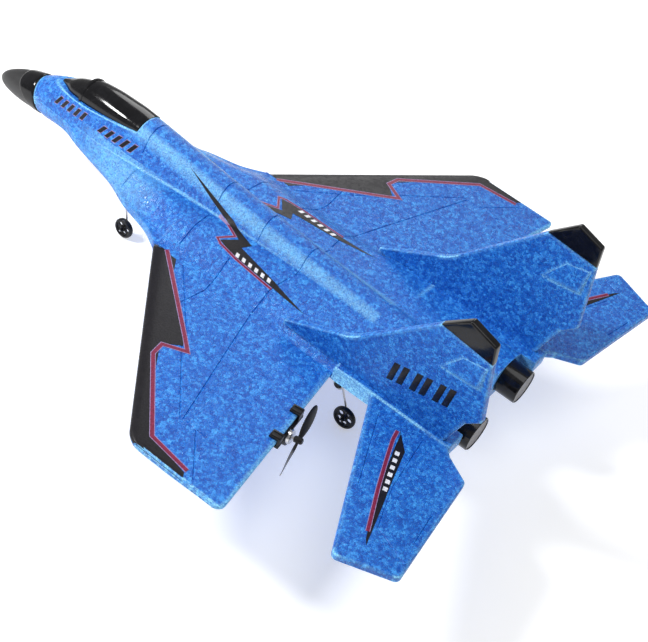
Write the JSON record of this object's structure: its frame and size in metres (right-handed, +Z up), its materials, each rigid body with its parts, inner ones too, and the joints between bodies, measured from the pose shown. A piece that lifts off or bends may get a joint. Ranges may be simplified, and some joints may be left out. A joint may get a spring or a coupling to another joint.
{
  "type": "rc foam airplane",
  "caption": "Small twin-propeller foam jet with canted fins, black nose, canopy and nozzles, wheeled wire gear, battery hatch and power switch.",
  "frame": {"origin": "middle of the airplane's box, on the ground under its three wheels", "axes": "+Z up, nose towards -Y, port wing towards +X; the airframe leans 2.4 degrees nose-up on its wheels"},
  "size_m": [0.29, 0.3496, 0.1286],
  "materials": {
    "blue_foam": "moulded bead foam, mottled blue",
    "black_plastic": "satin black",
    "gloss_black": "gloss black",
    "grey_plastic": "flat grey",
    "steel_wire": "bright spring wire",
    "motor_can": "nickel plated",
    "black_rubber": "matte",
    "battery_wrap": "foil pouch",
    "circuit_board": "green solder mask"
  },
  "bodies": {
    "airframe": {"battery": "battery_wrap", "canopy": "gloss_black", "fuselage_lower": "blue_foam", "fuselage_upper_front": "blue_foam", "fuselage_upper_middle": "blue_foam", "hatch_hinge_pin": "steel_wire", "left_fin": "blue_foam", "left_fin_cap": "gloss_black", "left_gear_leg": "steel_wire", "left_gear_socket": "black_plastic", "left_motor_can": "motor_can", "left_motor_mount": "black_plastic", "left_nozzle": "black_plastic", "left_nozzle_disc": "grey_plastic", "left_shock_bush": "black_rubber", "left_tail_boom": "blue_foam", "left_tailplane": "blue_foam", "left_wheel_collar": "black_plastic", "left_wing": "blue_foam", "nose_cone": "black_plastic", "nose_gear_leg": "steel_wire", "nose_gear_socket": "black_plastic", "nose_wheel_collar": "black_plastic", "receiver_board": "circuit_board", "right_fin": "blue_foam", "right_fin_cap": "gloss_black", "right_gear_leg": "steel_wire", "right_gear_socket": "black_plastic", "right_motor_can": "motor_can", "right_motor_mount": "black_plastic", "right_nozzle": "black_plastic", "right_nozzle_disc": "grey_plastic", "right_shock_bush": "black_rubber", "right_tail_boom": "blue_foam", "right_tailplane": "blue_foam", "right_wheel_collar": "black_plastic", "right_wing": "blue_foam", "switch_body": "black_plastic"},
    "left_prop": {"left_propeller": "black_plastic", "left_motor_shaft": "steel_wire"},
    "right_prop": {"right_propeller": "black_plastic", "right_motor_shaft": "steel_wire"},
    "nose_wheel": {"nose_wheel": "black_plastic"},
    "left_wheel": {"left_wheel": "black_plastic"},
    "right_wheel": {"right_wheel": "black_plastic"},
    "hatch": {"battery_hatch": "blue_foam"},
    "switch": {"switch_slider": "grey_plastic"}
  },
  "joints": [
    {"name": "left_prop_spin", "type": "hinge", "parent": "airframe", "child": "left_prop", "pos_m": [0.086, 0.09095, 0.0449], "axis": [-0.1543, 0.9819, 0.1102], "continuous": true},
    {"name": "right_prop_spin", "type": "hinge", "parent": "airframe", "child": "right_prop", "pos_m": [-0.086, 0.09095, 0.0449], "axis": [0.1543, 0.9819, 0.1102], "continuous": true},
    {"name": "nose_wheel_spin", "type": "hinge", "parent": "airframe", "child": "nose_wheel", "pos_m": [0, -0.07921, 0.00579], "axis": [1, 0, 0], "continuous": true},
    {"name": "left_wheel_spin", "type": "hinge", "parent": "airframe", "child": "left_wheel", "pos_m": [0.022, 0.08796, 0.0063], "axis": [1, 0, 0], "continuous": true},
    {"name": "right_wheel_spin", "type": "hinge", "parent": "airframe", "child": "right_wheel", "pos_m": [-0.022, 0.08796, 0.0063], "axis": [1, 0, 0], "continuous": true},
    {"name": "hatch_swing", "type": "hinge", "parent": "airframe", "child": "hatch", "pos_m": [-0.0105, -0.04464, 0.04488], "axis": [0, 0.9991, -0.0419], "range_deg": [0, 88]},
    {"name": "switch_slide", "type": "slide", "parent": "airframe", "child": "switch", "axis": [0, 0.9991, -0.0419], "range_m": [0, 0.002]}
  ]
}
